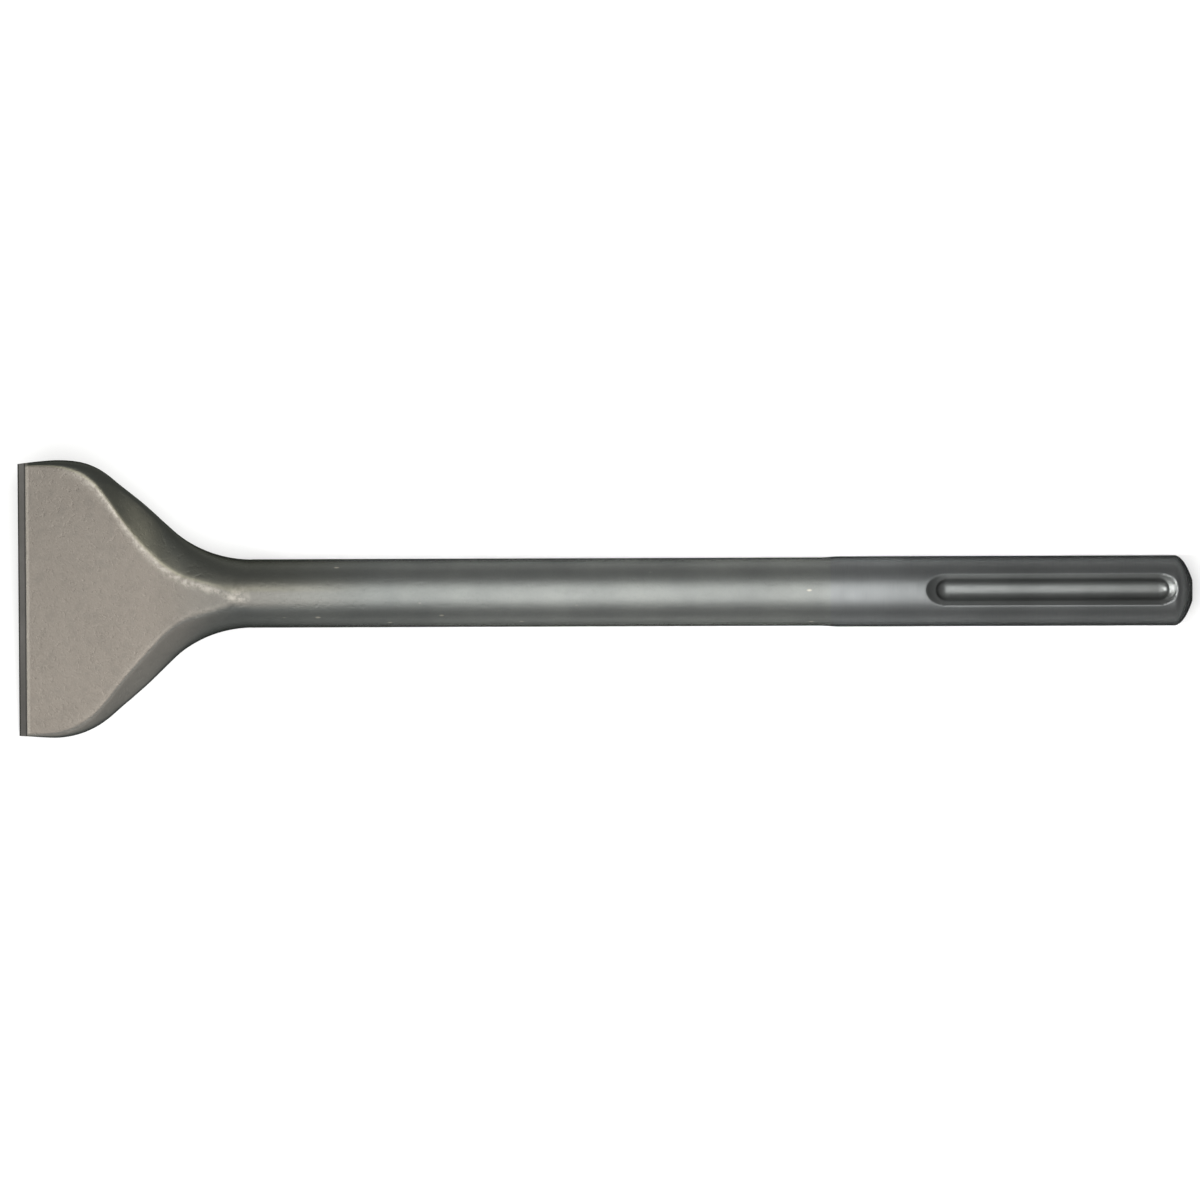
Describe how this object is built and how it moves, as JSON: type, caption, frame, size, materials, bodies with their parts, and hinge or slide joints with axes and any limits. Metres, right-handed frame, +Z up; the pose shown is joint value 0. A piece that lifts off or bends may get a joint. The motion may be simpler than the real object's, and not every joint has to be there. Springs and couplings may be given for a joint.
{
  "type": "flat chisel",
  "caption": "Wide fan-shaped flat chisel for an electric hammer: forged wedge blade on a round bar, with a ground 18 mm shank that has locking grooves and drive slots.",
  "frame": {"origin": "on the floor, under the bar's axis, midway between the cutting edge and the striking end", "axes": "+X along the bar from the cutting edge to the striking end, +Z up from the floor that the chisel lies on"},
  "size_m": [0.3, 0.0715, 0.018],
  "materials": {
    "forged_steel": "satin"
  },
  "bodies": {
    "root": {"flat_chisel": "forged_steel"}
  },
  "joints": []
}
